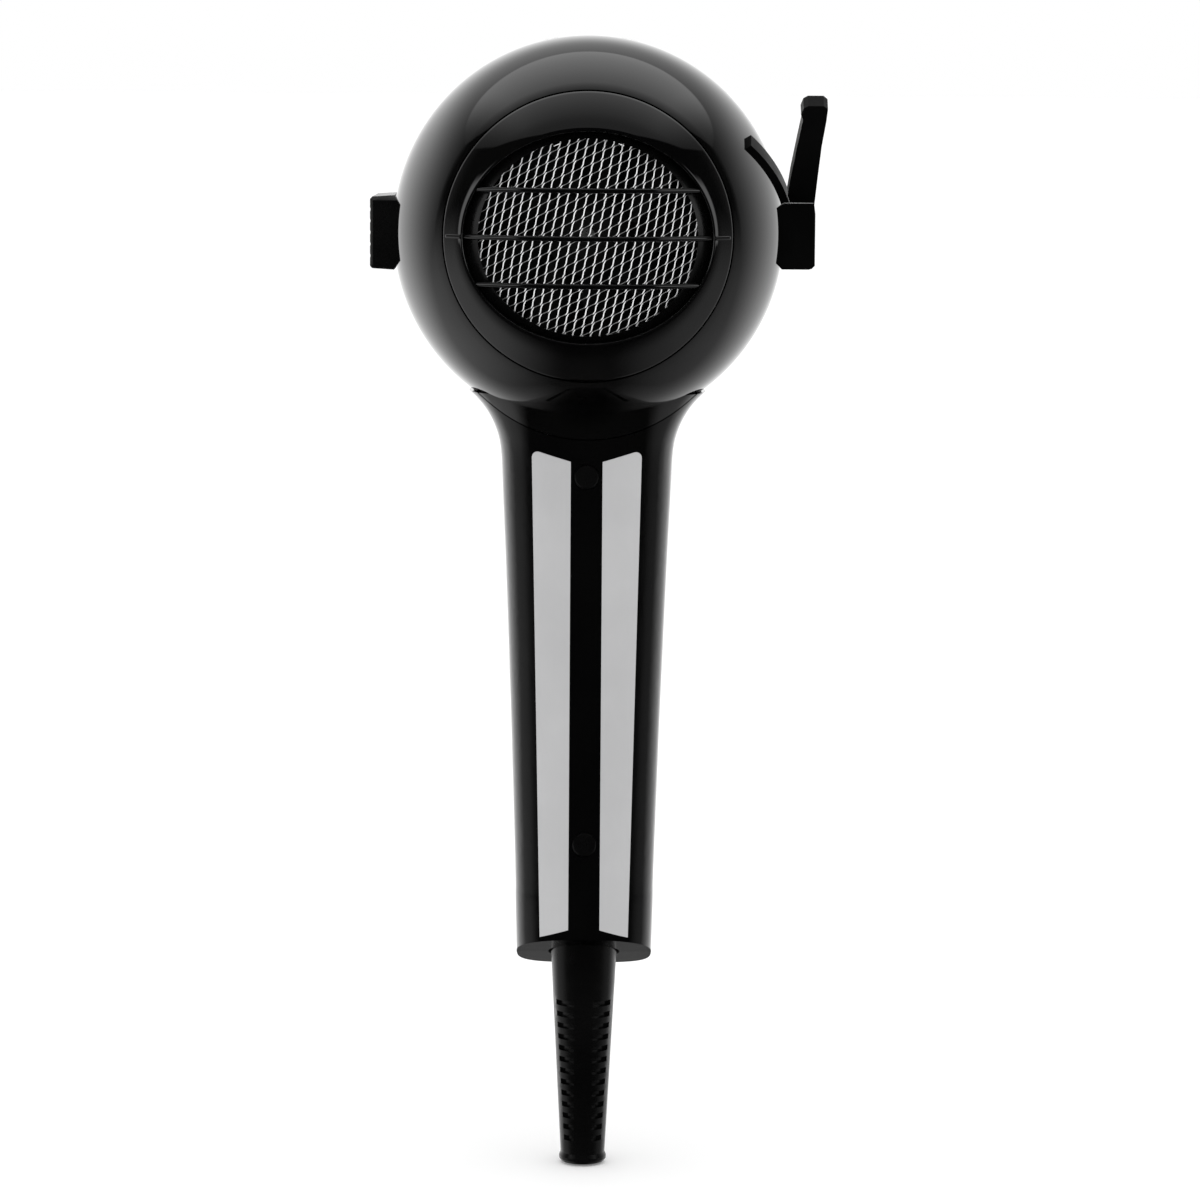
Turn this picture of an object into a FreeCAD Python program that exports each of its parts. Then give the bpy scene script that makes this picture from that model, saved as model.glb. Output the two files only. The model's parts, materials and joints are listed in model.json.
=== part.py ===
import FreeCAD, Part
import math
import os

# Compact hair dryer with a ball-shaped head, rear air intake and a straight handle.
# Millimetres. +Z up, +Y the way the air leaves, +X the clip's side.
# Everything is laid out about the centre of the ball and moved at the end, so
# that the origin is the centre of the outlet collar's mouth.

# ---------------------------------------------------------------- dimensions
R_BALL = 42.8            # outer radius of the ball head
WALL = 2.2               # housing wall
SPLIT_Y = -0.5           # parting plane of the front and rear mouldings
SEAM_GAP = 0.12          # width of the parting line
R_SEAM = 31.0            # radius of the grille ring's circular edge
OPEN_A, OPEN_B = 26.45, 22.2      # half axes of the oval intake opening
MESH_A, MESH_B = 23.4, 20.9      # half axes of the mesh that shows
BAR_R = 0.6              # radius of the three guard bars
BAR_Z = (10.05, 0.0, -10.05)
BAR_ARCH = 41.8          # the bars arch with the ball, at this distance from its centre
R_MESH = 39.2            # outer radius of the domed mesh
BLEND_ANGLE = 32.0       # where the barrel leaves the ball, degrees off the X-Z plane
BLEND_R = 60.0           # radius of the concave blend from ball to barrel
TAPER = 4.0              # barrel taper, degrees
BARREL_END = 92.0        # shoulder in front of the collar
COLLAR_END = 106.0       # mouth of the outlet collar
R_COLLAR = 22.5          # nozzle collar, outer radius
R_MOUTH = 20.6           # collar bore


def handle_row(z):
    """Height, half width, rear half depth and front half depth of the handle at a height."""
    u = z + 55.0
    a = 18.63 + 0.04556 * u + 0.000104 * u * u
    rise = max(0.0, min(z + 49.0, 17.5))
    flare = 19.0 - math.sqrt(361.0 - rise * rise)         # the neck opens towards the ball
    return (z, a + flare, 0.882 * a + 0.30 * flare, (0.914 - 0.0002 * u) * a + 0.68 * flare)


HANDLE = [handle_row(z) for z in (-33.0, -34.5, -36.0, -37.5, -39.0, -41.0, -43.5, -46.0, -49.0, -55.0, -65.0, -80.0,
                                  -100.0, -120.0, -145.0, -170.0)]
POWER, POWER_FRONT = 2.45, 3.4   # how square the rear and front halves of the handle's section are
HANDLE_END = -160.65     # bottom of the handle at its axis
END_SLOPE = 21.25        # the end face rises towards the rear, degrees
CREASE_R, CREASE_Z = 34.5, -9.9  # upper edge of the handle's rear cover, an arc
HEAD_Z = (-52.5, -134.0)         # heights of the two handle screws
PLUG_R = 2.7             # screw cover plugs
INLAY_T = 0.7            # inlay thickness
INLAY_END = -153.2       # lower end of the inlays at their inner edge
CLIP_TILT = 40.0         # the clip leans to the rear by this at rest
CLIP_R_IN, CLIP_R_OUT = 43.15, 45.0
HUB_H, HUB_D = 8.0, 13.0           # half height and half depth of the knob and of the clip's hub
KNOB_X = -47.3           # outer face of the knob
BOOT_TOP_R, BOOT_END_R = 7.8, 4.95       # cord sleeve's radii
BOOT_TOP, BOOT_END = -151.35, -208.3
CORD_R = 3.5
FAN_R = 25.6             # fan tip radius
DUCT_R = 26.4            # duct bore
MOTOR_R = 13.6

V = FreeCAD.Vector
X, Y, Z = V(1, 0, 0), V(0, 1, 0), V(0, 0, 1)
ORIGIN_SHIFT = V(0, -COLLAR_END, 0)
os.makedirs("parts", exist_ok=True)


# ---------------------------------------------------------------- helpers
def cyl(r, h, p, d):
    return Part.makeCylinder(r, h, V(*p), d)


def cy(r, y0, y1, x=0.0, z=0.0):
    return cyl(r, y1 - y0, (x, y0, z), Y)


def tube_y(ro, ri, y0, y1):
    return cy(ro, y0, y1).cut(cy(ri, y0 - 1, y1 + 1))


def box(x0, x1, y0, y1, z0, z1):
    return Part.makeBox(x1 - x0, y1 - y0, z1 - z0, V(x0, y0, z0))


def fuse(parts):
    s = parts[0]
    for p in parts[1:]:
        s = s.fuse(p)
    return s.removeSplitter()


def ball(r):
    return Part.makeSphere(r, V(0, 0, 0), Z, -90, 90, 360)


def oval_y(a, b, y0, y1, z=0.0):
    e = Part.Ellipse(V(0, 0, 0), a, b)
    w = Part.Wire(e.toShape())
    f = Part.Face(w)
    s = f.extrude(V(0, 0, y1 - y0))
    s.rotate(V(0, 0, 0), X, -90)     # local z becomes +Y
    s.translate(V(0, y0, z))
    return s


def section(z, a, br, bf, count=48):
    pts = []
    for i in range(count):
        t = 2 * math.pi * i / count
        c, s = math.cos(t), math.sin(t)
        b, n = (bf, POWER_FRONT) if s > 0 else (br, POWER)
        x = a * math.copysign(abs(c) ** (2 / n), c)
        y = b * math.copysign(abs(s) ** (2 / n), s)
        pts.append(V(x, y, z))
    curve = Part.BSplineCurve()
    curve.interpolate(Points=pts, PeriodicFlag=True)
    return Part.Wire(curve.toShape())


def handle_solid(offset, low=None):
    wires = [section(z, a - offset, br - offset, bf - offset) for z, a, br, bf in HANDLE]
    return Part.makeLoft(wires, True, False)


def handle_at(z):
    """Half width, rear and front half depth of the handle at a height."""
    for (z0, *p), (z1, *q) in zip(HANDLE, HANDLE[1:]):
        if z1 <= z <= z0:
            t = (z0 - z) / (z0 - z1)
            return [u + (v - u) * t for u, v in zip(p, q)]
    return HANDLE[-1][1:]


def revolve_y(points, closed=True):
    """Revolves a profile given as (y, r) about the Y axis."""
    pts = [V(r, y, 0) for y, r in points]
    w = Part.makePolygon(pts + [pts[0]])
    return Part.Face(w).revolve(V(0, 0, 0), Y, 360)


def big(side):
    """The half space in front of (+1) or behind (-1) the parting plane."""
    g = SEAM_GAP / 2
    return box(-90, 90, SPLIT_Y + g, 160, -260, 90) if side > 0 else box(-90, 90, -90, SPLIT_Y - g, -260, 90)


def below_end(dz=0.0):
    """What lies under the handle's slanted end face, moved down by dz."""
    s = Part.makeBox(120, 120, 80, V(-60, -60, -80))
    s.rotate(V(0, 0, 0), X, -END_SLOPE)      # the rear rises
    s.translate(V(0, 0, HANDLE_END + dz))
    return s


# ---------------------------------------------------------------- ball and barrel
def barrel_profile(off):
    """Outline of ball and barrel as edges in the X-Y plane, moved in by off."""
    a = math.radians(BLEND_ANGLE)
    t = math.radians(TAPER)
    n = V(math.cos(a), math.sin(a), 0)           # outward normal, x is the radius
    p1 = n * R_BALL
    c = p1 + n * BLEND_R
    p2 = c - V(math.cos(t), math.sin(t), 0) * BLEND_R
    p3 = V(p2.x - (BARREL_END - p2.y) * math.tan(t), BARREL_END, 0)
    mid = math.radians((BLEND_ANGLE + TAPER) / 2)
    pm = c - V(math.cos(mid), math.sin(mid), 0) * (BLEND_R + off)
    p1o, p2o = p1 - n * off, p2 - V(math.cos(t), math.sin(t), 0) * off
    p3o = p3 - V(off, 0, 0)
    return p1o, pm, p2o, p3o


def barrel_solid(off, end=BARREL_END, start=-0.2):
    p1, pm, p2, p3 = barrel_profile(off)
    r0 = R_BALL - off
    s0 = V(math.sqrt(r0 * r0 - start * start), start, 0)
    ms = V(math.cos(math.radians(15)), math.sin(math.radians(15)), 0) * r0
    slope = (p3.x - p2.x) / (p3.y - p2.y)
    p3 = V(p2.x + slope * (end - p2.y), end, 0)
    edges = [Part.makeLine(V(0, start, 0), s0), Part.Arc(s0, ms, p1).toShape(),
             Part.Arc(p1, pm, p2).toShape(), Part.makeLine(p2, p3),
             Part.makeLine(p3, V(0, end, 0)), Part.makeLine(V(0, end, 0), V(0, start, 0))]
    return Part.Face(Part.Wire(edges)).revolve(V(0, 0, 0), Y, 360)


outer_handle = handle_solid(0.0).cut(below_end()).cut(ball(R_BALL - 1.0))
handle_clip = box(-60, 60, -60, 60, -260, -34.8)
outer_handle = outer_handle.common(handle_clip)
inner_handle = handle_solid(WALL).cut(below_end(WALL + 0.1)).common(box(-60, 60, -60, 60, -260, -34.0))

p_end = barrel_profile(0)[3]
outer_front = fuse([barrel_solid(0.0, start=-12.0), cy(R_COLLAR, BARREL_END - 3, COLLAR_END)])
inner_head = fuse([barrel_solid(WALL, BARREL_END - 1.4, start=-12.0), cy(R_MOUTH, BARREL_END - 6, COLLAR_END + 1)])

boot_hole = cyl(BOOT_TOP_R + 0.15, 45, (0, 0, -190), Z)

seat_plate = handle_solid(WALL - 0.7).cut(below_end(0.8)).common(box(-30, 30, -30, 30, BOOT_TOP - 2.8, BOOT_TOP - 0.1)).cut(boot_hole.fuse(cyl(BOOT_TOP_R + 0.15, 20, (0, 0, -165), Z)))
boot_hole = cyl(BOOT_TOP_R + 0.15, 50, (0, 0, -195), Z)

# Rear moulding: the rear half of the ball with a short neck
crease_out = cy(CREASE_R - 0.12, -60, 60, z=CREASE_Z)
crease_in = cy(CREASE_R + 0.12, -60, 60, z=CREASE_Z)
neck = outer_handle.common(crease_out)
rear = fuse([ball(R_BALL), neck]).common(big(-1))
rear = rear.cut(ball(R_BALL - WALL)).cut(inner_handle)
rear = rear.cut(cy(R_SEAM + 0.12, -60, -20))
seat = tube_y(31.6, 28.4, -24.6, -22.8).common(ball(R_BALL - WALL + 0.6))
seat_wall = tube_y(R_SEAM + 2.2, R_SEAM + 0.12, -27.0, -22.8).common(ball(R_BALL - 0.6))
rear = fuse([rear, seat, seat_wall])
# hubs' axle holes lie on the parting plane's front side, so the rear edge is notched there
side_hole = cyl(2.6, 120, (-60, 0, 0), X)
rear = rear.cut(side_hole)

# Front moulding: the front half of the ball, the barrel, the collar and the front of the handle
front = fuse([outer_front.cut(inner_head), outer_handle.cut(inner_handle)]).common(big(1))
front = front.cut(inner_head).cut(inner_handle)
front = front.cut(boot_hole).cut(side_hole)
ledge = tube_y(36.6, DUCT_R + 1.75, 17.0, 19.0)      # carries the duct
ledge = ledge.cut(box(-15.0, 15.0, 10, 25, -40, -29.6))     # open towards the handle
front = fuse([front, ledge])
p_sw = handle_at(-66.0)
SW_Y = p_sw[2]
front = front.cut(box(-5.6, 5.6, SW_Y - 6, SW_Y + 6, -76.0, -56.0))            # rocker opening
COOL_Z = -90.0
COOL_Y = handle_at(COOL_Z)[2]
front = front.cut(cy(4.15, COOL_Y - 6, COOL_Y + 6, z=COOL_Z))
bosses = []
for z in HEAD_Z:
    d = handle_at(z)
    b = cy(3.4, SPLIT_Y + SEAM_GAP / 2, d[2] - 1.0, z=z).cut(cy(1.15, -20, d[2] - 4.0, z=z))
    bosses.append(b)
front = fuse([front, seat_plate.common(big(1))] + bosses)

# Rear cover of the handle
cover = outer_handle.cut(ball(R_BALL + 0.12)).cut(crease_in).common(big(-1)).cut(inner_handle).cut(boot_hole)
cover = fuse([cover, seat_plate.common(big(-1))])
screws, plugs = [], []
for z in HEAD_Z:
    d = handle_at(z)
    cover = fuse([cover, cy(4.0, -d[1] + 1.0, SPLIT_Y - SEAM_GAP / 2, z=z)])
    cover = cover.cut(cy(PLUG_R + 0.08, -d[1] - 2, -d[1] + 4.2, z=z)).cut(cy(1.7, -30, 5, z=z))
    plug = cy(PLUG_R, -d[1] - 0.02, -d[1] + 1.9, z=z)
    plug = plug.makeChamfer(0.25, [e for e in plug.Edges if abs(e.CenterOfMass.y + d[1] + 0.02) < 0.01])
    plugs.append(plug)
    head = cy(2.6, -d[1] + 2.4, -d[1] + 4.2, z=z)
    slot = fuse([box(-1.8, 1.8, -d[1] + 2.0, -d[1] + 3.4, z - 0.35, z + 0.35),
                 box(-0.35, 0.35, -d[1] + 2.0, -d[1] + 3.4, z - 1.8, z + 1.8)])
    screws.append(fuse([head.cut(slot), cy(1.15, -d[1] + 4.0, 8.0, z=z)]))

# Two light inlays, flush in pockets of the rear cover
inner_skin = handle_solid(INLAY_T)


def inlay_cutter(s, grow=0.0):
    pts = [V(s * (3.45 - grow), -60, -49.2 + grow), V(s * (12.0 + grow), -60, -46.7 + grow),
           V(s * (9.75 + grow), -60, INLAY_END - 1.95 - grow), V(s * (3.45 - grow), -60, INLAY_END - grow)]
    f = Part.Face(Part.makePolygon(pts + [pts[0]]))
    b = f.extrude(V(0, 58, 0))
    corner = [e for e in b.Edges if abs(e.CenterOfMass.z + 46.7) < 0.6 + grow and abs(abs(e.CenterOfMass.x) - 12.0) < 0.6 + grow
              and abs(e.Vertexes[0].Point.y - e.Vertexes[1].Point.y) > 10]
    return b.makeFillet(1.3, corner) if corner else b


layer = outer_handle.cut(inner_skin)
inlays = {}
for side, s in (("left", -1), ("right", 1)):
    inlays[side] = inlay_cutter(s).common(layer)
    cover = cover.cut(inlay_cutter(s, 0.08).common(layer))

# ---------------------------------------------------------------- intake
dome = ball(R_BALL).cut(ball(R_BALL - 2.0)).common(cy(R_SEAM, -60, -20))
skirt = tube_y(R_SEAM, 29.4, -28.6, -24.65).common(ball(R_BALL - 0.5))
ring = fuse([dome, skirt]).cut(oval_y(OPEN_A, OPEN_B, -60, -20))
try:
    lip = [e for e in ring.Edges if e.CenterOfMass.y < -30.5 and e.Length > 140 and
           max(v.Point.y for v in e.Vertexes) < -31]
    outer_lip = [e for e in lip if abs(e.valueAt(e.FirstParameter).Length - R_BALL) < 0.05]
    ring = ring.makeFillet(0.7, outer_lip)
except Exception as exc:
    print("lip left square:", exc)
bars = []
for z in BAR_Z:
    half = OPEN_A * math.sqrt(1 - (z / OPEN_B) ** 2) + 0.7
    bars.append(Part.makeTorus(math.sqrt(BAR_ARCH ** 2 - z * z), BAR_R, V(0, 0, z), Z).common(box(-half, half, -60, -20, z - 2, z + 2)))
for s in (-1, 1):                # the middle bar runs on over the ring as a fine rib
    rib = ball(R_BALL + 0.22).cut(ball(R_BALL - 0.5)).common(box(*sorted((s * 26.7, s * 30.7)), -60, 0, -0.45, 0.35))
    bars.append(rib)
ring = fuse([ring] + bars)

frame_dome = ball(R_BALL - 2.15).cut(ball(R_BALL - 3.5)).common(cy(29.1, -60, -26.2)).cut(oval_y(MESH_A, MESH_B, -60, -20))
mesh_disc = ball(R_MESH).cut(ball(R_MESH - 0.6)).common(cy(25.8, -60, -20))

# ---------------------------------------------------------------- knob and clip
def prism_xz(points, y0, y1):
    f = Part.Face(Part.makePolygon([V(x, y0, z) for x, z in points] + [V(points[0][0], y0, points[0][1])]))
    return f.extrude(V(0, y1 - y0, 0))


def oblong_x(x0, x1, h, d, c):
    """Oblong block, half height h and half depth d, with its long edges bevelled by c."""
    pts = [(-d + c, -h), (d - c, -h), (d, -h + c), (d, h - c), (d - c, h), (-d + c, h), (-d, h - c), (-d, -h + c)]
    f = Part.Face(Part.makePolygon([V(x0, y, z) for y, z in pts] + [V(x0, *pts[0])]))
    return f.extrude(V(x1 - x0, 0, 0))


side_view = [(KNOB_X + 0.5, 7.75), (-42.1, 8.05), (-40.3, 5.5), (-40.3, -5.5), (-42.1, -8.05), (KNOB_X + 0.5, -7.75),
             (KNOB_X, -7.2), (KNOB_X, 7.2)]
knob = prism_xz(side_view, -20, 20).common(oblong_x(KNOB_X - 1, -39.0, HUB_H + 0.1, HUB_D, 1.15))
top_view = Part.Face(Part.makePolygon([V(x, y, -20) for x, y in ((KNOB_X, -12.3), (KNOB_X + 0.7, -13.1), (-38, -13.1), (-38, 13.1),
                                                                 (KNOB_X + 0.7, 13.1), (KNOB_X, 12.3), (KNOB_X, -12.3))])).extrude(V(0, 0, 40))
knob = knob.common(top_view).cut(ball(R_BALL + 0.3))
ribs = []
for i in range(5):               # finger grooves along the outer face
    ribs.append(cyl(0.9, 40, (KNOB_X - 0.79, -20, -5.0 + 2.5 * i), Y))
pointer = box(KNOB_X - 0.1, KNOB_X + 0.4, -12.0, -9.0, -0.5, 0.5)
knob = knob.cut(Part.makeCompound(ribs)).cut(pointer)
knob = knob.cut(cyl(2.05, 6.0, (-46.0, 0, 0), X))
knob_shaft = cyl(2.05, 11.0, (-45.95, 0, 0), X)
knob_shaft = fuse([knob_shaft, cyl(3.6, 1.2, (-38.9, 0, 0), X)])
switch_body = box(-37.6, -30.2, -8.0, 8.0, -8.0, 8.0).cut(cyl(2.15, 3.0, (-37.7, 0, 0), X)).cut(cy(DUCT_R + 1.75, -20, 20))
for z in (-5.0, 0.0, 5.0):
    switch_body = switch_body.fuse(box(-34.0, -33.2, 8.0, 12.0, z - 1.2, z + 1.2))
switch_body = switch_body.removeSplitter()


def plane_solid(points, w, fillets=None):
    """A plate in the clip's plane (x, height) with thickness w, not yet leaned."""
    f = Part.Face(Part.makePolygon([V(x, -w / 2, z) for x, z in points] + [V(points[0][0], -w / 2, points[0][1])]))
    return f.extrude(V(0, w, 0))


hub_view = [(40.2, -5.6), (42.0, -7.4), (47.8, -7.4), (48.45, -7.22), (48.9, -6.75), (49.1, -6.6), (49.1, 4.6), (48.8, 6.9),
            (42.4, 6.9), (40.2, 5.6)]
hub = prism_xz(hub_view, -20, 20).common(oblong_x(39.0, 50.0, HUB_H, HUB_D, 0.9))
outer_arm = plane_solid([(42.6, 3.0), (42.9, 9.0), (43.7, 18.0), (44.8, 27.0), (45.7, 34.0), (45.2, 35.4), (45.7, 37.2),
                         (46.7, 37.9), (50.0, 37.9), (50.9, 37.0), (50.7, 33.5), (50.0, 26.6), (49.5, 17.7), (49.1, 9.6), (49.1, 3.0)], 3.4)
shell = ball(CLIP_R_OUT).cut(ball(CLIP_R_IN))
wedge = plane_solid([(0, -0.5), (60, -0.5), (60, 4), (60 * math.cos(math.radians(33)), 60 * math.sin(math.radians(33))),
                     (60 * math.cos(math.radians(39.5)), 60 * math.sin(math.radians(39.5)))], 3.2)
inner_arm = shell.common(wedge)
inner_arm.rotate(V(0, 0, 0), X, 4.0)
root = plane_solid([(42.9, 0.0), (43.0, 8.6), (44.2, 8.6), (46.4, 7.2), (46.4, 0.0)], 5.0).cut(ball(CLIP_R_IN))
arms = fuse([outer_arm, root, inner_arm])
arms.rotate(V(0, 0, 0), X, CLIP_TILT)
clip = fuse([hub, arms]).cut(ball(R_BALL + 0.3))
clip = clip.cut(cyl(2.3, 20, (39, 0, 0), X)).cut(cyl(4.3, 3.0, (47.2, 0, 0), X))
clip_pin = fuse([cyl(2.25, 9.4, (38.0, 0, 0), X), cyl(4.0, 1.5, (47.25, 0, 0), X)])
clip_pin = clip_pin.cut(cyl(1.5, 1.0, (48.0, 0, 0), X))
clip_nut = cyl(4.2, 1.6, (37.2, 0, 0), X).cut(cyl(2.25, 3, (37, 0, 0), X))

# ---------------------------------------------------------------- cord sleeve
boot = fuse([cyl(9.3, 2.4, (0, 0, BOOT_TOP), Z),
             Part.makeCone(BOOT_END_R, BOOT_TOP_R, BOOT_TOP + 206.3, V(0, 0, -206.3), Z),
             Part.makeCone(4.9, 5.3, 0.6, V(0, 0, BOOT_END), Z), cyl(5.3, 0.6, (0, 0, BOOT_END + 0.6), Z),
             Part.makeCone(5.3, 4.93, 0.9, V(0, 0, BOOT_END + 1.2), Z)])
slots = []
for i in range(13):
    z = -171.5 - i * 2.58
    r = BOOT_TOP_R - (BOOT_TOP_R - BOOT_END_R) * (BOOT_TOP - z) / (BOOT_TOP + 206.3)
    ringcut = cyl(r + 1, 1.2, (0, 0, z - 0.6), Z).cut(cyl(r - 0.95, 1.3, (0, 0, z - 0.62), Z))
    slots.append(ringcut)
keep = fuse([box(-2.0, 2.0, -12, 12, -215, -165), box(-12, 12, -3.0, 3.0, -215, -165)])
slots = [s.cut(keep) for s in slots]
boot = boot.cut(Part.makeCompound(slots))
boot = boot.cut(cyl(CORD_R, 90, (0, 0, -230), Z))
clamp = box(-9.0, 9.0, 1.0, 4.0, -146.0, -140.0).cut(cyl(2.0, 20, (0, 0, -150), Z))
clamp = clamp.cut(cy(1.1, -5, 10, x=6.6, z=-143)).cut(cy(1.1, -5, 10, x=-6.6, z=-143))

# ---------------------------------------------------------------- front controls
rocker = box(-4.9, 4.9, SW_Y - 2.2, SW_Y + 2.2, -74.6, -57.4)
r_cut = Part.makeCylinder(26.0, 20, V(-10, SW_Y + 26.0 + 1.0, -66.0), X)
rocker = rocker.cut(r_cut)
rocker = rocker.makeFillet(0.5, [e for e in rocker.Edges if e.CenterOfMass.y > SW_Y + 1.0 and abs(e.CenterOfMass.x) > 4.8])
rocker = fuse([rocker, cyl(1.6, 9.8, (-4.9, SW_Y - 3.2, -66.0), X), box(-1.2, 1.2, SW_Y - 3.4, SW_Y - 2.0, -67.0, -65.0)])
rocker_body = box(-5.4, 5.4, SW_Y - 13.0, SW_Y - 2.6, -75.4, -56.6).cut(box(-5.0, 5.0, SW_Y - 5.6, SW_Y - 2.0, -75.0, -57.0))
for z in (-72.0, -66.0, -60.0):
    rocker_body = rocker_body.fuse(box(-2.0, 2.0, SW_Y - 16.5, SW_Y - 13.0, z - 0.4, z + 0.4))
rocker_body = rocker_body.removeSplitter()
cool = fuse([cy(3.95, COOL_Y - 3.0, COOL_Y + 1.6, z=COOL_Z), cy(5.2, COOL_Y - 4.4, COOL_Y - 3.0, z=COOL_Z)])
cool = cool.makeFillet(0.6, [e for e in cool.Edges if abs(e.CenterOfMass.y - COOL_Y - 1.6) < 0.01 and e.Closed])
cool_body = box(-5.0, 5.0, COOL_Y - 14.0, COOL_Y - 8.2, COOL_Z - 5.5, COOL_Z + 5.5)
cool_body = fuse([cool_body, box(-1.6, 1.6, COOL_Y - 17.0, COOL_Y - 14.0, COOL_Z - 3.4, COOL_Z - 2.8),
                  box(-1.6, 1.6, COOL_Y - 17.0, COOL_Y - 14.0, COOL_Z + 2.8, COOL_Z + 3.4)])
turns = []
for i in range(4):
    t = Part.makeTorus(2.6, 0.25, V(0, COOL_Y - 7.94 + i * 0.55, COOL_Z), Y)
    turns.append(t)
spring = Part.makeCompound(turns)

# ---------------------------------------------------------------- air path inside
duct = tube_y(DUCT_R + 1.6, DUCT_R, -21.5, 19.0)
cup = tube_y(MOTOR_R + 2.4, MOTOR_R + 0.9, 1.0, 17.0)
vanes = []
for i in range(7):
    v = box(-0.7, 0.7, 2.0, 16.0, MOTOR_R + 1.6, DUCT_R + 0.8)
    v.rotate(V(0, 9, 20), Z, 14)
    v.rotate(V(0, 0, 0), Y, 360.0 * i / 7 + 12)
    vanes.append(v)
duct = fuse([duct, cup] + vanes)
duct = duct.cut(cy(MOTOR_R + 0.9, -30, 30)).cut(box(-40, -29.9, -8.2, 8.2, -8.2, 8.2))
damper = tube_y(MOTOR_R + 0.85, MOTOR_R + 0.05, 3.0, 14.0)
motor_can = tube_y(MOTOR_R, MOTOR_R - 1.0, -1.0, 26.0)
motor_can = fuse([motor_can, cy(MOTOR_R, -1.0, 0.2).cut(cy(1.56, -3, 2))])
magnets = []
for a in (0, 180):
    m = tube_y(MOTOR_R - 1.05, MOTOR_R - 3.2, 3.0, 21.0).cut(box(-3.5, 3.5, -5, 40, -20, 20)).common(box(0, 30, -5, 40, -20, 20))
    m.rotate(V(0, 0, 0), Y, a)
    magnets.append(m)
motor_end = fuse([cy(MOTOR_R, 26.05, 28.4), cy(4.0, 28.3, 30.4)]).cut(cy(1.56, 20, 29.6))
armature = cy(MOTOR_R - 3.6, 5.0, 19.0)
for i in range(5):
    g = box(-1.2, 1.2, 3, 21, 6.0, 13.0)
    g.rotate(V(0, 0, 0), Y, 72.0 * i)
    armature = armature.cut(g)
armature = armature.cut(cy(1.5, -10, 40))
shaft = cy(1.5, -16.5, 29.2)
hub_f = cy(9.0, -16.0, -6.0).cut(cy(8.0, -13.6, -5)).cut(cy(1.5, -20, 0))
boss_f = tube_y(3.4, 1.5, -14.0, -6.0)
nose = Part.makeCone(9.0, 5.0, 2.4, V(0, -16.0, 0), V(0, -1, 0)).cut(cy(1.5, -20, 0))
blades = []
for i in range(9):
    b = box(-0.55, 0.55, -7.6, 7.6, 8.4, FAN_R + 2)
    b.rotate(V(0, 0, 0), Z, 52)
    b.translate(V(0, -11.0, 0))
    b = b.common(tube_y(FAN_R, 8.4, -15.6, -6.4))
    b.rotate(V(0, 0, 0), Y, 40.0 * i)
    blades.append(b)
fan = fuse([hub_f, boss_f, nose] + blades)

mica = []
for a in (0, 90):
    m = box(-0.4, 0.4, 34.0, 84.0, -18.4, 18.4)
    m.rotate(V(0, 0, 0), Y, a)
    mica.append(m)
mica = fuse(mica)
MICA_IN = 19.9
coil = []
for i in range(9):
    coil.append(Part.makeTorus(15.2, 0.5, V(0, 41.0 + i * 4.6, 0), Y))
links = []
for i in range(8):
    a = math.radians(45 + 90 * (i % 2))
    links.append(cy(0.35, 41.0 + i * 4.6, 41.0 + (i + 1) * 4.6, x=15.2 * math.cos(a), z=15.2 * math.sin(a)))
leads = [cy(0.35, 33.0, 41.0, x=15.2 * math.cos(math.radians(-45)), z=15.2 * math.sin(math.radians(-45))),
         cy(0.35, 77.8, 83.0, x=15.2 * math.cos(math.radians(225)), z=15.2 * math.sin(math.radians(225)))]
heater_coil = fuse(coil + links + leads)
mica = mica.cut(Part.makeCompound([Part.makeTorus(15.2, 0.55, V(0, 41.0 + i * 4.6, 0), Y) for i in range(9)]))
mica_tube = tube_y(MICA_IN + 0.35, MICA_IN, 33.0, 87.0)
end_plate = cy(19.7, 32.0, 33.6)
for i in range(8):
    h = cy(3.6, 30, 36, x=13.0)
    h.rotate(V(0, 0, 0), Y, 45.0 * i + 22.5)
    end_plate = end_plate.cut(h)
end_plate = end_plate.cut(cy(5.2, 30, 36)).cut(Part.makeCompound(leads))
thermostat = fuse([box(2.2, 9.2, 60.0, 70.0, 0.45, 3.0), cy(3.0, 55.0, 60.2, x=5.7, z=2.0).common(box(0, 20, 50, 65, 0.45, 20))])
thermal_fuse = cy(1.6, 58.0, 69.0, x=-6.0, z=2.1)
thermal_fuse = fuse([thermal_fuse, cy(0.5, 52.0, 75.0, x=-6.0, z=2.1)])
grille_f = []
for r in (4.5, 9.8, 15.1):
    grille_f.append(tube_y(r + 0.55, r - 0.55, 88.8, 90.6))
for i in range(4):
    s = box(-0.5, 0.5, 88.8, 90.6, 4.4, 20.0)
    s.rotate(V(0, 0, 0), Y, 90.0 * i + 45)
    grille_f.append(s)
grille_f.append(tube_y(21.3, 19.2, 88.8, 90.6))
outlet_grille = fuse(grille_f)

board = box(-9.5, 9.5, -6.2, -4.6, -126.0, -104.0)
diodes = []
for k, x in enumerate((-6.0, -2.0, 2.0, 6.0)):
    diodes.append(cyl(1.3, 5.0, (x, -3.25, -117.5), Z).fuse(cyl(0.35, 9.0, (x, -3.25, -119.5), Z)))
cap = box(-4.5, 4.5, -4.6, 1.0, -110.3, -104.8)
wires = []
for x, z0, z1, y in ((-7.4, -139.5, -77.0, 3.0), (7.4, -139.5, -77.0, 3.0), (-9.0, -100.0, -40.0, 8.5), (9.0, -100.0, -40.0, 8.5)):
    wires.append(cyl(1.1, z1 - z0, (x, y, z0), Z))

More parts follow.
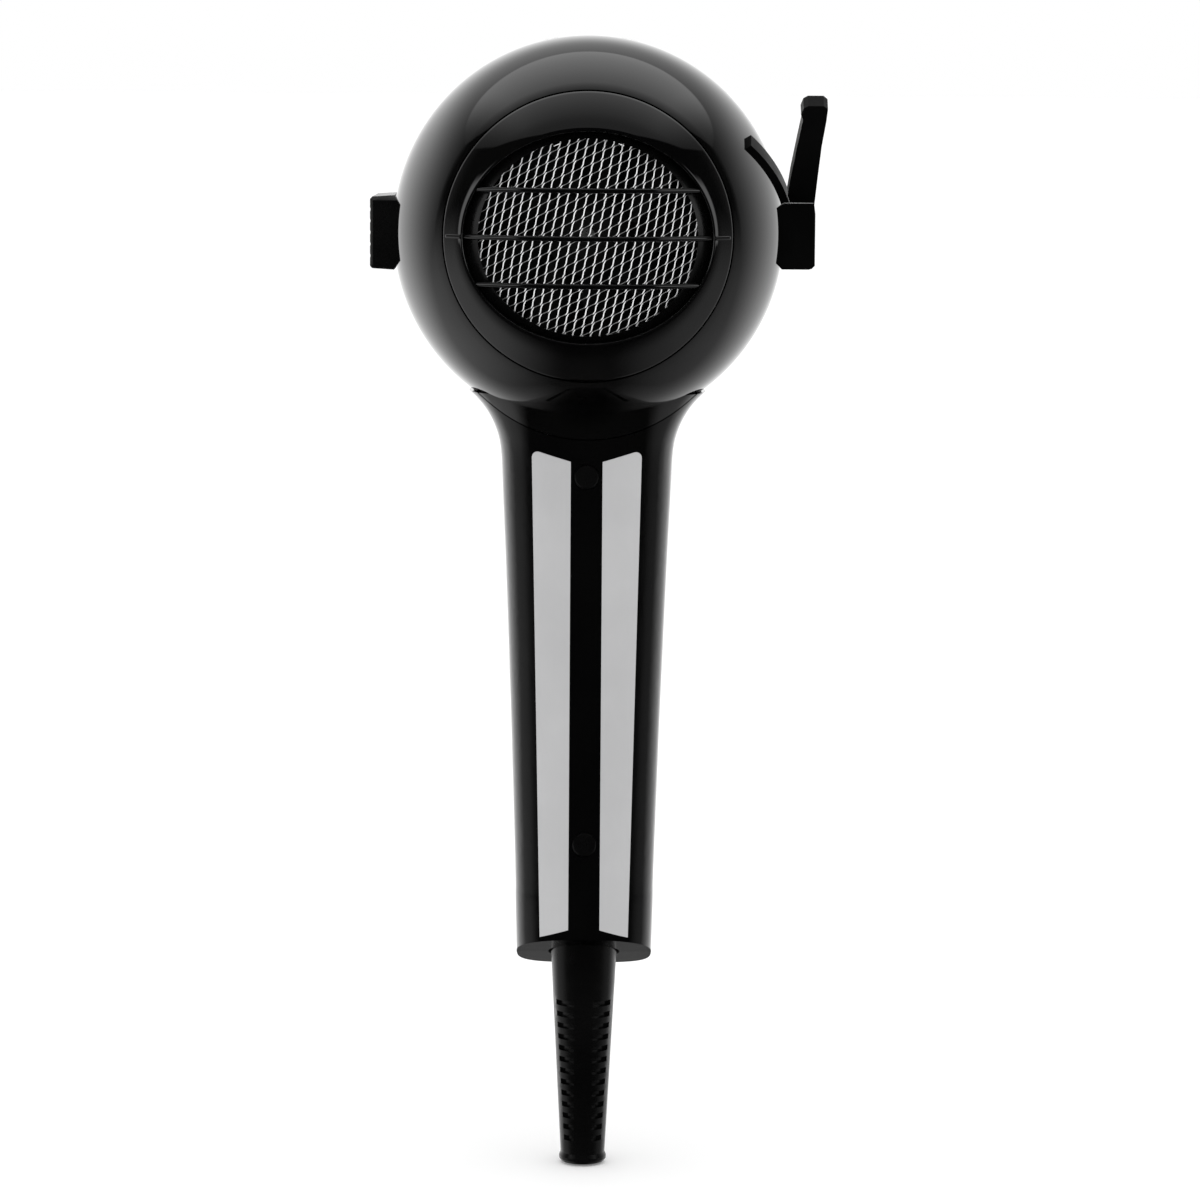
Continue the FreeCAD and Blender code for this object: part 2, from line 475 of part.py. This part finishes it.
nodes = {
    "rear_shell": rear, "front_shell": front, "handle_rear_cover": cover,
    "inlay_left": inlays["left"], "inlay_right": inlays["right"],
    "screw_plugs": Part.makeCompound(plugs), "handle_screws": Part.makeCompound(screws),
    "intake_ring": ring, "mesh_frame": frame_dome, "intake_mesh": mesh_disc,
    "selector_knob": knob, "selector_shaft": knob_shaft, "selector_switch": switch_body,
    "side_clip": clip, "clip_pin": clip_pin, "clip_retainer": clip_nut,
    "cord_sleeve": boot, "cord_clamp": clamp,
    "rocker": rocker, "rocker_switch": rocker_body,
    "cool_button": cool, "cool_switch": cool_body, "cool_spring": spring,
    "fan_duct": duct, "motor_damper": damper, "motor_can": motor_can, "motor_magnets": Part.makeCompound(magnets),
    "motor_end_cap": motor_end, "motor_armature": armature, "motor_shaft": shaft, "fan_impeller": fan,
    "mica_cross": mica, "heater_coil": heater_coil, "mica_tube": mica_tube, "heater_end_plate": end_plate,
    "thermostat": thermostat, "thermal_fuse": thermal_fuse, "outlet_grille": outlet_grille,
    "rectifier_board": board, "rectifier_diodes": Part.makeCompound(diodes), "suppressor_capacitor": cap,
    "handle_leads": Part.makeCompound(wires),
}

for name, shape in nodes.items():
    shape = shape.copy()
    shape.translate(ORIGIN_SHIFT)
    solids = shape.Solids
    shape = solids[0] if len(solids) == 1 else Part.makeCompound(solids)
    print("%-22s solids %2d valid %s volume %9.1f" % (name, len(solids), shape.isValid(), shape.Volume))
    shape.exportStep("parts/%s.step" % name)
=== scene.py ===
import bpy, bmesh
import json
import math
import numpy as np
from mathutils import Vector, Matrix


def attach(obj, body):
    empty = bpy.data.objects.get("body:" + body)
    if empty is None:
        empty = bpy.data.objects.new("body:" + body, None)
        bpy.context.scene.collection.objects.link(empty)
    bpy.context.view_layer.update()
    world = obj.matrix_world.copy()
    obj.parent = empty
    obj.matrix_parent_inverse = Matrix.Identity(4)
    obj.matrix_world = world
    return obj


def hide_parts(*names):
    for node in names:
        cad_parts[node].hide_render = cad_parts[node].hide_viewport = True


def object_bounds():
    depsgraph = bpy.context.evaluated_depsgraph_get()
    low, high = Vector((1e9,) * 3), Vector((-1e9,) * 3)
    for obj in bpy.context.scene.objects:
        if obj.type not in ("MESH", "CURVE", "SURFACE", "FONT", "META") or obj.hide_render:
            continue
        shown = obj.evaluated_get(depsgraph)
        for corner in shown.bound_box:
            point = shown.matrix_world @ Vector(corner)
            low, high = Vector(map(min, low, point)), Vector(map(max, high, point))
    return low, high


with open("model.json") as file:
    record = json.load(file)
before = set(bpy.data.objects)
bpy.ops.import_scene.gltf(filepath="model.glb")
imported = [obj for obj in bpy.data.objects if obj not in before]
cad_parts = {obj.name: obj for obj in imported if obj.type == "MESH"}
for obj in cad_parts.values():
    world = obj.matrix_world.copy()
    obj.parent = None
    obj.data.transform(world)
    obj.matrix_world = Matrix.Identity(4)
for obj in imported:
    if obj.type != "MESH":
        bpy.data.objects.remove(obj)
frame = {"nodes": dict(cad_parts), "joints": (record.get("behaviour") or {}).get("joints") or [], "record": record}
cad_lo, cad_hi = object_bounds()
NODES = frame["nodes"]
joint = {j["name"]: j for j in frame["joints"]}
CY = joint["clip_swivel"]["pos_m"][1]          # the ball's centre lies on the clip's axis
MM = 0.001
rng = np.random.default_rng(7)


def W(p):
    """A point given in millimetres from the ball's centre, in the frame's metres."""
    return Vector((p[0] * MM, CY + p[1] * MM, p[2] * MM))


# ------------------------------------------------------------------ camera
EL, ROLL, FOV = 7.0, 0.40, 15.8
f_px = 600 / math.tan(math.radians(FOV / 2))
DEPTH, UP, RT = 948.7, 80.8, -2.52
c, s = math.cos(math.radians(EL)), math.sin(math.radians(EL))
fwd, up0, rt0 = Vector((0, c, -s)), Vector((0, s, c)), Vector((1, 0, 0))
cr, sr = math.cos(math.radians(ROLL)), math.sin(math.radians(ROLL))
up = up0 * cr + rt0 * -sr
rt = rt0 * cr + up0 * sr
eye = -(fwd * DEPTH + up * UP + rt * RT)
cam_data = bpy.data.cameras.new("camera")
cam = bpy.data.objects.new("camera", cam_data)
bpy.context.scene.collection.objects.link(cam)
cam_data.sensor_width = 36.0
cam_data.lens = 18.0 / math.tan(math.radians(FOV / 2))
cam_data.clip_start, cam_data.clip_end = 0.01, 50.0
m = Matrix((rt, up, -fwd)).transposed().to_4x4()
m.translation = W(eye)
cam.matrix_world = m
bpy.context.scene.camera = cam

# ------------------------------------------------------------------ materials
def nodes_of(name):
    mat = bpy.data.materials.new(name)
    mat.use_nodes = True
    nt = mat.node_tree
    b = nt.nodes["Principled BSDF"]
    return mat, nt, b


def tex_noise(nt, scale, detail=4.0, rough=0.5, coord="Object"):
    tc = nt.nodes.new("ShaderNodeTexCoord")
    n = nt.nodes.new("ShaderNodeTexNoise")
    n.inputs["Scale"].default_value = scale
    n.inputs["Detail"].default_value = detail
    n.inputs["Roughness"].default_value = rough
    nt.links.new(tc.outputs[coord], n.inputs["Vector"])
    return n


def ramp(nt, src, lo, hi, a=0.0, b=1.0):
    r = nt.nodes.new("ShaderNodeMapRange")
    r.inputs["From Min"].default_value = lo
    r.inputs["From Max"].default_value = hi
    r.inputs["To Min"].default_value = a
    r.inputs["To Max"].default_value = b
    nt.links.new(src, r.inputs["Value"])
    return r.outputs["Result"]


def bump(nt, b, src, strength, dist):
    bp = nt.nodes.new("ShaderNodeBump")
    bp.inputs["Strength"].default_value = strength
    bp.inputs["Distance"].default_value = dist
    nt.links.new(src, bp.inputs["Height"])
    nt.links.new(bp.outputs["Normal"], b.inputs["Normal"])
    return bp


def mix_color(nt, fac, a, b):
    mx = nt.nodes.new("ShaderNodeMix")
    mx.data_type = "RGBA"
    mx.inputs["A"].default_value = (*a, 1)
    mx.inputs["B"].default_value = (*b, 1)
    nt.links.new(fac, mx.inputs["Factor"])
    return mx.outputs["Result"]


def plastic(name, dark, light, rough, rough_var=0.03, grain=0.0, grain_scale=2500.0, wave=0.0, ior=1.5, coat=0.0):
    """Moulded plastic: slight tint and roughness variation, fine texture and a long shallow moulding wave."""
    mat, nt, b = nodes_of(name)
    n = tex_noise(nt, 60.0, 5.0)
    nt.links.new(mix_color(nt, ramp(nt, n.outputs["Fac"], 0.35, 0.65), dark, light), b.inputs["Base Color"])
    n2 = tex_noise(nt, 320.0, 3.0)
    nt.links.new(ramp(nt, n2.outputs["Fac"], 0.3, 0.7, rough - rough_var, rough + rough_var), b.inputs["Roughness"])
    b.inputs["IOR"].default_value = ior
    if coat:
        b.inputs["Coat Weight"].default_value = coat
        b.inputs["Coat Roughness"].default_value = 0.03
    if grain or wave:
        h = tex_noise(nt, grain_scale if grain else 90.0, 2.0)
        bump(nt, b, h.outputs["Fac"], grain if grain else wave, 0.00006 if grain else 0.0002)
    return mat


def metal(name, color, rough, var=0.08, brushed=0.0, scale=900.0, dark=None):
    mat, nt, b = nodes_of(name)
    n = tex_noise(nt, scale, 4.0)
    dark = dark or tuple(x * 0.7 for x in color)
    nt.links.new(mix_color(nt, ramp(nt, n.outputs["Fac"], 0.3, 0.7), dark, color), b.inputs["Base Color"])
    b.inputs["Metallic"].default_value = 1.0
    nt.links.new(ramp(nt, n.outputs["Fac"], 0.3, 0.7, rough - var, rough + var), b.inputs["Roughness"])
    if brushed:
        n2 = tex_noise(nt, 4000.0, 2.0)
        bump(nt, b, n2.outputs["Fac"], brushed, 0.00003)
    return mat


def mesh_metal_with_painted_glow(name, k=1.0):
    """Expanded metal: rolled steel with a fine grain along the strands, made bright by an emission that is a painted
    glow; k scales both its colour and its glow.
    """
    mat, nt, b = nodes_of(name)
    n = tex_noise(nt, 2600.0, 3.0)
    nt.links.new(mix_color(nt, ramp(nt, n.outputs["Fac"], 0.3, 0.7), (0.74 * k, 0.74 * k, 0.745 * k), (0.96 * k, 0.96 * k, 0.96 * k)), b.inputs["Base Color"])
    b.inputs["Metallic"].default_value = 0.1
    # painted glow: the emission makes the strands shine as if lit, though they are no lamp
    b.inputs["Emission Color"].default_value = (1, 1, 1, 1)
    b.inputs["Emission Strength"].default_value = 0.18 * k * k
    nt.links.new(ramp(nt, n.outputs["Fac"], 0.3, 0.7, 0.28, 0.42), b.inputs["Roughness"])
    return mat


M = {
    "gloss_black": plastic("gloss_black", (0.0008, 0.0008, 0.0009), (0.0014, 0.0014, 0.0014), 0.035, 0.010, ior=1.5),
    "gloss_handle": plastic("gloss_handle", (0.0008, 0.0008, 0.0009), (0.0014, 0.0014, 0.0014), 0.05, 0.012, ior=1.34),
    "matte_black": plastic("matte_black", (0.0012, 0.0012, 0.0012), (0.0022, 0.0022, 0.0022), 0.27, 0.04, grain=0.12, grain_scale=3500.0, ior=1.38),
    "clip_black": plastic("clip_black", (0.0012, 0.0012, 0.0012), (0.0022, 0.0022, 0.0022), 0.42, 0.04, grain=0.10, grain_scale=3500.0, ior=1.19),
    "sleeve_black": plastic("sleeve_black", (0.0012, 0.0012, 0.0012), (0.0025, 0.0025, 0.0025), 0.24, 0.04, grain=0.08, grain_scale=2500.0, ior=1.30),
    # painted reflection: the inlays' flat light grey stands in for the softboxes' reflections on the glossy black
    # handle
    "inlay_grey": plastic("inlay_grey", (0.465, 0.465, 0.47), (0.495, 0.495, 0.50), 0.38, 0.03, grain=0.06, grain_scale=5000.0),
    # painted glow: the steep mesh strands' steel carries an emission
    "mesh_steel": mesh_metal_with_painted_glow("mesh_steel"),
    "screw_steel": metal("screw_steel", (0.62, 0.62, 0.60), 0.30, 0.08),
    "duct_grey": plastic("duct_grey", (0.006, 0.006, 0.0065), (0.010, 0.010, 0.011), 0.55, 0.05, grain=0.2, ior=1.3),
    "fan_black": plastic("fan_black", (0.004, 0.004, 0.004), (0.007, 0.007, 0.007), 0.45, 0.05, grain=0.1, ior=1.3),
    "ring_dark": plastic("ring_dark", (0.0008, 0.0008, 0.0008), (0.0014, 0.0014, 0.0014), 0.6, 0.05, grain=0.1, ior=1.12),
    "motor_steel": metal("motor_steel", (0.55, 0.55, 0.54), 0.32, 0.08, 0.3),
    "magnet": plastic("magnet", (0.03, 0.03, 0.03), (0.05, 0.05, 0.05), 0.6, 0.05, grain=0.3, grain_scale=1500),
    "copper": metal("copper", (0.80, 0.42, 0.26), 0.35, 0.08),
    "mica": plastic("mica", (0.52, 0.45, 0.32), (0.70, 0.64, 0.50), 0.45, 0.1, grain=0.25, grain_scale=700),
    "nichrome": metal("nichrome", (0.50, 0.46, 0.42), 0.4, 0.08),
    "board": plastic("board", (0.02, 0.12, 0.05), (0.03, 0.17, 0.07), 0.35, 0.05, grain=0.1),
    "cap_plastic": plastic("cap_plastic", (0.62, 0.42, 0.05), (0.70, 0.50, 0.08), 0.4, 0.05, grain=0.1),
    "lead_pvc": plastic("lead_pvc", (0.62, 0.62, 0.60), (0.70, 0.70, 0.68), 0.4, 0.05, grain=0.08),
    "switch_plastic": plastic("switch_plastic", (0.018, 0.018, 0.018), (0.03, 0.03, 0.03), 0.45, 0.05, grain=0.2),
}
slot_of = {s["node"]: s["material_slot"] for s in frame["record"]["subparts"]}
for name, o in NODES.items():
    o.data.materials.clear()
    o.data.materials.append(M[slot_of[name]])
NODES["handle_rear_cover"].data.materials[0] = M["gloss_handle"]


def seam_edge(mat):
    """The ball's skin turns in softly over the last millimetre and a half before the round seam."""
    nt2 = mat.node_tree
    b2 = next(n for n in nt2.nodes if n.type == "BSDF_PRINCIPLED")
    geo = nt2.nodes.new("ShaderNodeNewGeometry")
    sx = nt2.nodes.new("ShaderNodeSeparateXYZ")
    nt2.links.new(geo.outputs["Position"], sx.inputs["Vector"])

    def m(kind, a, b_):
        q = nt2.nodes.new("ShaderNodeMath")
        q.operation = kind
        for i_, s_ in enumerate((a, b_)):
            if isinstance(s_, (int, float)):
                q.inputs[i_].default_value = s_
            else:
                nt2.links.new(s_, q.inputs[i_])
        return q.outputs[0]

    z0 = W((0, 0, 0))
    dx_ = m("SUBTRACT", sx.outputs["X"], z0[0])
    dz_ = m("SUBTRACT", sx.outputs["Z"], z0[2])
    r2 = m("SQRT", m("ADD", m("MULTIPLY", dx_, dx_), m("MULTIPLY", dz_, dz_)), 0.0)
    t_ = m("MAXIMUM", m("SUBTRACT", 0.0327, r2), 0.0)
    h_ = m("MULTIPLY", m("MULTIPLY", t_, t_), -70.0)
    bp = nt2.nodes.new("ShaderNodeBump")
    bp.inputs["Strength"].default_value = 1.0
    bp.inputs["Distance"].default_value = 1.0
    nt2.links.new(h_, bp.inputs["Height"])
    nt2.links.new(bp.outputs["Normal"], b2.inputs["Normal"])


M["gloss_seam"] = plastic("gloss_seam", (0.0008, 0.0008, 0.0009), (0.0014, 0.0014, 0.0014), 0.035, 0.010, ior=1.5)
seam_edge(M["gloss_seam"])
NODES["rear_shell"].data.materials[0] = M["gloss_seam"]
NODES["side_clip"].data.materials[0] = M["clip_black"]

# ------------------------------------------------------------------ own pieces
def new_obj(name, verts, faces, mat, body, smooth=True, replaces=()):
    """verts in millimetres from the ball's centre."""
    me = bpy.data.meshes.new(name)
    me.from_pydata([tuple(W(v)) for v in verts], [], faces)
    me.validate()
    me.update()
    if smooth:
        me.polygons.foreach_set("use_smooth", [True] * len(me.polygons))
    o = bpy.data.objects.new(name, me)
    bpy.context.scene.collection.objects.link(o)
    me.materials.append(mat)
    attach(o, body)
    if replaces:
        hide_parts(*replaces)
    return o


R_BALL = 42.8


def tube_path(P, radii, sides=8, flat=1.0):
    """A tube along the points P (numpy, mm), with a radius at each; flat squeezes it along the ball's radius."""
    P = np.asarray(P, float)
    T = np.gradient(P, axis=0)
    T /= np.linalg.norm(T, axis=1)[:, None]
    N = P / np.linalg.norm(P, axis=1)[:, None]
    B = np.cross(T, N)
    B /= np.linalg.norm(B, axis=1)[:, None]
    N = np.cross(B, T)
    V, F = [], []
    n = len(P)
    for i in range(n):
        for k in range(sides):
            a = 2 * math.pi * k / sides
            V.append(P[i] + radii[i] * (math.cos(a) * B[i] + flat * math.sin(a) * N[i]))
    for i in range(n - 1):
        for k in range(sides):
            a, b_ = i * sides + k, i * sides + (k + 1) % sides
            F.append((a, b_, b_ + sides, a + sides))
    F.append(tuple(range(sides))[::-1])
    F.append(tuple((n - 1) * sides + k for k in range(sides)))
    return V, F


def join(parts):
    V, F = [], []
    for v, f in parts:
        o = len(V)
        V.extend(v)
        F.extend(tuple(i + o for i in q) for q in f)
    return V, F


# expanded metal: a skewed lattice rolled onto a dome
R_DOME = 38.9
V1, V2 = np.array([0.38, 2.345]), np.array([2.13, 0.88])


def dome(st, dr=0.0):
    st = np.asarray(st, float)
    r = np.hypot(st[..., 0], st[..., 1]) + 1e-9
    th = r / R_DOME
    k = (R_DOME + dr) * np.sin(th) / r
    return np.stack([st[..., 0] * k, -(R_DOME + dr) * np.cos(th), st[..., 1] * k], -1)


steep, flat = [], []
for i in range(-16, 17):
    for j in range(-20, 21):
        N0 = i * V1 + j * V2 + np.array([0.35, 0.55])
        c0 = dome(N0 + (V1 + V2) / 2)
        if (c0[0] / 24.9) ** 2 + (c0[2] / 22.4) ** 2 > 1.0:
            continue
        # the steep strand: leaves the flat one below it on its left, stands up, and turns into the next one on its right
        t = np.linspace(0, 1, 9)
        w = N0 + np.outer(t, V1)
        w = w + np.outer(np.where(t < 0.25, -(0.25 - t) / 0.25, 0.0) + np.where(t > 0.78, (t - 0.78) / 0.22, 0.0), V2 * 0.17)
        lift = 0.16 * np.sin(math.pi * t)
        P = dome(w) * (1 + lift / R_DOME)[:, None]
        steep.append(tube_path(P, 0.135 * (0.55 + 0.45 * np.sin(math.pi * t) ** 0.6), 8, 0.7))
        # the flat strand, thinner and lying deeper
        t = np.linspace(0, 1, 7)
        w = N0 + np.outer(t, V2 + 0.10 * V1) - 0.05 * V1
        P = dome(w) * (1 - 0.10 * np.sin(math.pi * t) / R_DOME)[:, None]
        flat.append(tube_path(P, 0.078 * (1.15 - 0.35 * np.sin(math.pi * t)), 6, 1.5))
v, f = join(steep)
new_obj("mesh_strands_steep", v, f, M["mesh_steel"], "intake", replaces=("intake_mesh",))
# painted shade: the flat strands get a darker copy of the same steel, standing in for their turning away from the
# light
v, f = join(flat)
new_obj("mesh_strands_flat", v, f, mesh_metal_with_painted_glow("mesh_steel_flat_painted_shade", 0.32), "intake")

# intake ring: from the round seam it rises a little above the ball to a rounded oval lip
OA, OB, RS = 26.45, 22.2, 30.88
nphi = 360
prof = []
for t in np.linspace(0, 1, 26):
    prof.append(("top", t))
V, F = [], []
rows = []
LIP = 0.55
for k in range(nphi):
    a = 2 * math.pi * k / nphi
    ca, sa = math.cos(a), math.sin(a)
    r_in = 1 / math.sqrt((ca / OA) ** 2 + (sa / OB) ** 2)
    col = []
    # outer side wall below the seam, then its rounded edge
    yb = -math.sqrt(R_BALL ** 2 - RS ** 2)
    col.append((RS * ca, yb + 3.2, RS * sa))
    col.append((RS * ca, yb + 0.30, RS * sa))
    col.append(((RS - 0.06) * ca, yb + 0.12, (RS - 0.06) * sa))
    th1, th0 = math.asin((RS - 0.18) / R_BALL), math.asin((r_in + LIP) / R_BALL)
    for t in np.linspace(0, 1, 22):
        th = th1 + (th0 - th1) * t
        rr = R_BALL + 0.03 * R_BALL * (th1 - th) - 0.9 * max(0.0, t - 0.6) ** 2
        col.append((rr * math.sin(th) * ca, -rr * math.cos(th), rr * math.sin(th) * sa))
    # rounded lip into the opening
    x0, y0, z0 = col[-1]
    rl = math.hypot(x0, z0)
    drop = LIP
    for q in np.linspace(0.12, 1, 8):
        g = q * math.pi / 2
        r_ = rl - LIP * math.sin(g)
        y_ = y0 + drop * (1 - math.cos(g)) - 0.18 * math.sin(g) * 0.5
        col.append((r_ * ca, y_, r_ * sa))
    x1, y1, z1 = col[-1]
    col.append((x1, y1 + 1.4, z1))
    col.append((x1 * 1.02, y1 + 2.6, z1 * 1.02))
    rows.append(col)
m_ = len(rows[0])
V = [p for col in rows for p in col]
for k in range(nphi):
    k2 = (k + 1) % nphi
    for q in range(m_ - 1):
        F.append((k * m_ + q, k2 * m_ + q, k2 * m_ + q + 1, k * m_ + q + 1))
parts = [(V, F)]
for z in (10.05, 0.0, -10.05):
    half = OA * math.sqrt(1 - (z / OB) ** 2) + 0.25
    rho = math.sqrt(41.8 ** 2 - z * z)
    am = math.asin(half / rho)
    P = [(rho * math.sin(a), -rho * math.cos(a), z) for a in np.linspace(-am, am, 90)]
    parts.append(tube_path(P, [0.56] * 90, 20))
for s_ in (-1, 1):            # the middle bar runs on over the ring as a fine rounded rib
    th = np.linspace(math.asin(26.9 / R_BALL), math.asin(30.4 / R_BALL), 24)
    th1 = math.asin((RS - 0.18) / R_BALL)
    P, rad = [], []
    for n_, a in enumerate(th):
        rr = R_BALL + 0.03 * R_BALL * (th1 - a) - 0.10
        P.append((s_ * rr * math.sin(a), -rr * math.cos(a), 0.0))
        e = min(1.0, (23 - n_) / 3.0)
        rad.append(0.46 * math.sqrt(max(0.03, 1 - (1 - e) ** 2)))
    parts.append(tube_path(P, rad, 16, 0.75))
v, f = join(parts)
ring = new_obj("ring_and_bars", v, f, M["gloss_black"], "intake", replaces=("intake_ring",))
ring.data.materials.append(M["ring_dark"])
for n_, pl in enumerate(ring.data.polygons):
    if n_ < nphi * (m_ - 1) and n_ % (m_ - 1) >= m_ - 6:
        pl.material_index = 1


# soft edges on the knob; the side parts and the inlays stay out of the shell's reflections
for nm in ("side_clip", "selector_knob", "inlay_left", "inlay_right", "clip_pin"):
    NODES[nm].visible_glossy = False
for nm in ("selector_knob",):
    o = NODES[nm]
    wd = o.modifiers.new("weld", "WELD")
    wd.merge_threshold = 0.00001
    bv = o.modifiers.new("bevel", "BEVEL")
    bv.width = 0.00022
    bv.segments = 3
    bv.limit_method = "ANGLE"
    bv.angle_limit = math.radians(28)
    bv.harden_normals = False

# ------------------------------------------------------------------ stage and light
FLOOR_Z = cad_lo.z
bm = bmesh.new()
bmesh.ops.create_grid(bm, x_segments=8, y_segments=8, size=40.0)
me = bpy.data.meshes.new("floor")
bm.to_mesh(me); bm.free()
floor = bpy.data.objects.new("floor", me)
floor.location = (0, 0, FLOOR_Z - 0.0005)
bpy.context.scene.collection.objects.link(floor)
fm, nt, b = nodes_of("floor_pale")
b.inputs["Base Color"].default_value = (0.93, 0.93, 0.93, 1)
b.inputs["Emission Color"].default_value = (1, 1, 1, 1)
b.inputs["Emission Strength"].default_value = 0.14
b.inputs["Roughness"].default_value = 0.9
floor.data.materials.append(fm)
floor.visible_glossy = False

world = bpy.data.worlds.new("studio")
bpy.context.scene.world = world
world.use_nodes = True
nt = world.node_tree
nt.nodes.clear()


def wnode(kind, **kw):
    n = nt.nodes.new(kind)
    for k_, v_ in kw.items():
        setattr(n, k_, v_)
    return n


def smooth(src, a, b_, lo, hi):
    r_ = wnode("ShaderNodeMapRange", interpolation_type="SMOOTHSTEP")
    for k_, v_ in (("From Min", a), ("From Max", b_), ("To Min", lo), ("To Max", hi)):
        r_.inputs[k_].default_value = v_
    nt.links.new(src, r_.inputs["Value"])
    return r_.outputs["Result"]


def op(kind, a, b_):
    m2 = wnode("ShaderNodeMath", operation=kind)
    for i_, s_ in enumerate((a, b_)):
        if isinstance(s_, (int, float)):
            m2.inputs[i_].default_value = s_
        else:
            nt.links.new(s_, m2.inputs[i_])
    return m2.outputs[0]


out = wnode("ShaderNodeOutputWorld")
tc = wnode("ShaderNodeTexCoord")
sep = wnode("ShaderNodeSeparateXYZ")
nt.links.new(tc.outputs["Generated"], sep.inputs["Vector"])
dy, dz = sep.outputs["Y"], sep.outputs["Z"]
dx2 = op("MULTIPLY", sep.outputs["X"], sep.outputs["X"])
adx = op("ABSOLUTE", sep.outputs["X"], 0.0)
adz = op("ABSOLUTE", dz, 0.0)
# pale backdrop behind the dryer, stronger on its left, dimmed low down by the table's edge and the dryer's own shade
wall = op("MULTIPLY", smooth(dy, -0.05, 0.75, 0.03, 1.6), smooth(sep.outputs["X"], -0.8, 0.8, 1.12, 0.90))
wall = op("MULTIPLY", wall, op("MULTIPLY", smooth(dz, -0.82, -0.25, 0.28, 1.0), smooth(dz, 0.30, 0.62, 1.0, 0.64)))
under = op("MULTIPLY", smooth(dz, -0.52, -0.36, 0.85, 0.0), smooth(adx, 0.06, 0.30, 1.0, 0.0))
wall = op("MULTIPLY", wall, op("SUBTRACT", 1.0, under))
# pale table, brighter away from the dryer
low = op("MULTIPLY", smooth(dz, -0.40, 0.30, 0.95, 0.0), smooth(dy, -0.50, 0.0, 0.0, 1.0))
low = op("MULTIPLY", low, op("MULTIPLY", smooth(adx, 0.15, 0.75, 0.06, 1.0), smooth(sep.outputs["X"], 0.1, 0.6, 1.0, 0.55)))
# overhead softbox: its far edge bows towards the sides, its near edge is straight, and its ends fade
near = op("SUBTRACT", op("ADD", op("MULTIPLY", dy, 0.1219), op("MULTIPLY", dz, 0.9925)),
          op("MULTIPLY", op("SQRT", op("MULTIPLY", op("SUBTRACT", 1.0, op("SUBTRACT", op("MULTIPLY", dy, 0.9925), op("MULTIPLY", dz, 0.1219))), 2.0), 0.0), 0.415))
far = smooth(op("ADD", dz, op("MULTIPLY", dx2, 0.27)), 0.715, 0.745, 0.0, 1.0)
soft = op("MULTIPLY", op("MULTIPLY", far, smooth(near, -0.012, 0.012, 0.0, 1.0)),
          op("MULTIPLY", smooth(dy, -0.42, 0.45, 0.42, 1.95), smooth(adx, 0.50, 0.82, 1.0, 0.22)))
# two narrow side panels
panel = op("MULTIPLY", smooth(adx, 0.62, 0.72, 0.0, 2.4), smooth(adz, 0.30, 0.45, 1.0, 0.0))
panel = op("MULTIPLY", panel, smooth(dz, -0.10, -0.05, 0.0, 1.0))
panel = op("MULTIPLY", panel, op("MULTIPLY", smooth(dy, -0.30, -0.24, 1.0, 0.0), smooth(dy, -0.80, -0.72, 0.0, 1.0)))
env = op("MAXIMUM", op("MAXIMUM", wall, low), op("MAXIMUM", soft, panel))
bg = wnode("ShaderNodeBackground")
nt.links.new(env, bg.inputs["Strength"])
bg_flat = wnode("ShaderNodeBackground")
bg_flat.inputs["Color"].default_value = (1, 1, 1, 1)
bg_flat.inputs["Strength"].default_value = 1.0
lp = wnode("ShaderNodeLightPath")
mixs = wnode("ShaderNodeMixShader")
nt.links.new(lp.outputs["Is Glossy Ray"], mixs.inputs["Fac"])
nt.links.new(bg_flat.outputs["Background"], mixs.inputs[1])
nt.links.new(bg.outputs["Background"], mixs.inputs[2])
nt.links.new(mixs.outputs["Shader"], out.inputs["Surface"])


def area(name, loc, target, size, size_y, power, glossy=False):
    d = bpy.data.lights.new(name, "AREA")
    d.shape = "RECTANGLE"
    d.size, d.size_y = size, size_y
    d.energy = power
    o = bpy.data.objects.new(name, d)
    o.location = loc
    o.rotation_euler = (Vector(target) - Vector(loc)).to_track_quat("-Z", "Y").to_euler()
    o.visible_camera = False
    o.visible_glossy = glossy
    bpy.context.scene.collection.objects.link(o)
    return o


mid = (cad_lo + cad_hi) / 2
area("top_box", (0.0, -0.1, 1.3), (0, CY, 0), 1.0, 1.0, 4.0)

bpy.context.scene.view_settings.view_transform = "Standard"
